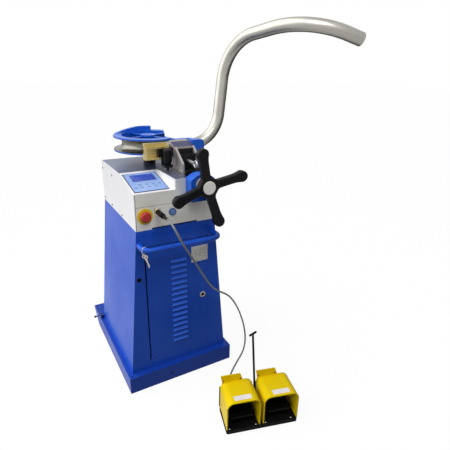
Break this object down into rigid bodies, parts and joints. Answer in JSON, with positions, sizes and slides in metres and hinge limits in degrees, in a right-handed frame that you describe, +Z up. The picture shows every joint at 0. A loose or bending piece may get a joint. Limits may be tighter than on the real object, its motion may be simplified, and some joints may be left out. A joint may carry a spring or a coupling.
{
  "type": "tube bending machine",
  "caption": "Mandrelless tube bending machine on a louvred cabinet: grooved former, counter die on a handwheel slide, bent tube, sloped keypad and a twin foot pedal on a cable.",
  "frame": {"origin": "middle of the plinth on the floor, at the middle of its four anchor holes", "axes": "+Z up, -Y towards the operator's side with the door and controls, +X to the operator's right"},
  "size_m": [0.8787, 1.0674, 1.4415],
  "materials": {
    "cabinet_blue": "satin",
    "fitting_blue": "satin",
    "zinc_steel": "satin",
    "machined_steel": "machined",
    "dark_steel": "matte",
    "white_paint": "satin",
    "stainless": "brushed",
    "bright_tube": "polished",
    "die_brass": "machined",
    "keypad_grey": "satin",
    "black_plastic": "matte",
    "cap_grey": "gloss",
    "motor_grey": "painted",
    "estop_yellow": "satin",
    "estop_red": "satin",
    "cable_grey": "matte",
    "pedal_yellow": "satin"
  },
  "bodies": {
    "frame": {"plinth": "cabinet_blue", "cabinet_left_panel": "cabinet_blue", "cabinet_right_panel": "cabinet_blue", "cabinet_rear_panel": "cabinet_blue", "cabinet_front_frame": "cabinet_blue", "cabinet_top_plate": "cabinet_blue", "grab_bar": "cabinet_blue", "nut_block": "cabinet_blue", "plinth_fittings": "fitting_blue", "door_pivots": "zinc_steel", "gearbox_plate": "zinc_steel", "gearbox_pillars": "zinc_steel", "electrical_box": "zinc_steel", "start_bezel": "zinc_steel", "thrust_flange": "machined_steel", "slide_rails": "machined_steel", "pedal_handle": "dark_steel", "head_left_panel": "white_paint", "head_right_panel": "white_paint", "head_rear_panel": "white_paint", "console_plate": "white_paint", "control_panel": "stainless", "upper_front_panel": "stainless", "table_plate": "stainless", "shaft_bushes": "die_brass", "keypad": "keypad_grey", "cable_socket": "black_plastic", "cable_plug": "black_plastic", "mains_inlet": "black_plastic", "motor_fan_cover": "black_plastic", "pedal_base": "black_plastic", "pedal_gland": "black_plastic", "motor_housing": "motor_grey", "estop_collar": "estop_yellow", "pedal_cable": "cable_grey", "pedal_guard_left": "pedal_yellow", "pedal_guard_right": "pedal_yellow"},
    "door": {"door": "cabinet_blue"},
    "lock": {"door_lock": "zinc_steel"},
    "bender": {"former": "cabinet_blue", "former_hook": "cabinet_blue", "former_spacer": "dark_steel", "drive_shaft": "machined_steel", "drive_gear": "machined_steel"},
    "tube": {"bent_tube": "bright_tube"},
    "pinion": {"motor_pinion": "machined_steel"},
    "carriage": {"carriage_frame": "machined_steel", "carriage_slide": "dark_steel", "die_holder": "dark_steel", "counter_die": "die_brass"},
    "die_knob": {"die_lock_knob": "black_plastic"},
    "pin": {"pull_pin": "dark_steel"},
    "wheel": {"handwheel": "black_plastic", "hub_cap": "cap_grey", "lead_screw": "machined_steel"},
    "estop": {"estop_button": "estop_red"},
    "start": {"start_button": "fitting_blue"},
    "pedal_left": {"treadle_left": "black_plastic"},
    "pedal_right": {"treadle_right": "black_plastic"}
  },
  "joints": [
    {"name": "former_turn", "type": "hinge", "parent": "frame", "child": "bender", "pos_m": [0.015, 0.035, 0.886], "axis": [0, 0, 1], "range_deg": [0, 180]},
    {"name": "pinion_turn", "type": "hinge", "parent": "frame", "child": "pinion", "pos_m": [0.015, -0.073, 0.75], "axis": [0, 0, 1], "range_deg": [-640, 10]},
    {"name": "tube_slide", "type": "slide", "parent": "bender", "child": "tube", "axis": [1, 0, 0], "range_m": [0, 0.13]},
    {"name": "handwheel_turn", "type": "hinge", "parent": "carriage", "child": "wheel", "pos_m": [0.089, -0.385, 0.868], "axis": [0, -1, 0], "range_deg": [0, 1728]},
    {"name": "carriage_travel", "type": "slide", "parent": "frame", "child": "carriage", "axis": [0, -1, 0], "range_m": [0, 0.0241]},
    {"name": "pin_pull", "type": "slide", "parent": "carriage", "child": "pin", "axis": [0, -1, 0], "range_m": [0, 0.015], "stiffness_N_per_m": 400, "springref_m": -0.006},
    {"name": "knob_lift", "type": "slide", "parent": "carriage", "child": "die_knob", "axis": [0, 0, 1], "range_m": [0, 0.015]},
    {"name": "door_swing", "type": "hinge", "parent": "frame", "child": "door", "pos_m": [-0.125, -0.278, 0.377], "axis": [0, 0, -1], "range_deg": [0, 90], "deforming": ["pedal_cable"]},
    {"name": "lock_turn", "type": "hinge", "parent": "door", "child": "lock", "pos_m": [0.108, -0.278, 0.37], "axis": [0, 1, 0], "range_deg": [0, 90]},
    {"name": "estop_press", "type": "slide", "parent": "frame", "child": "estop", "axis": [0, 1, 0], "range_m": [0, 0.003], "stiffness_N_per_m": 2000, "springref_m": -0.002},
    {"name": "start_press", "type": "slide", "parent": "frame", "child": "start", "axis": [0, 1, 0], "range_m": [0, 0.003], "stiffness_N_per_m": 1500, "springref_m": -0.002},
    {"name": "pedal_left_press", "type": "hinge", "parent": "frame", "child": "pedal_left", "pos_m": [0.1026, -0.60087, 0.046], "axis": [0.9617, -0.274, 0], "range_deg": [0, 12], "stiffness_Nm_per_rad": 4, "springref_deg": -5.73},
    {"name": "pedal_right_press", "type": "hinge", "parent": "frame", "child": "pedal_right", "pos_m": [0.24325, -0.64094, 0.046], "axis": [0.9617, -0.274, 0], "range_deg": [0, 12], "stiffness_Nm_per_rad": 4, "springref_deg": -5.73}
  ],
  "couplings": [
    {"joint": "pinion_turn", "follows": "former_turn", "ratio": -3.5},
    {"joint": "carriage_travel", "follows": "handwheel_turn", "m_per_rad": 0.00079577}
  ]
}
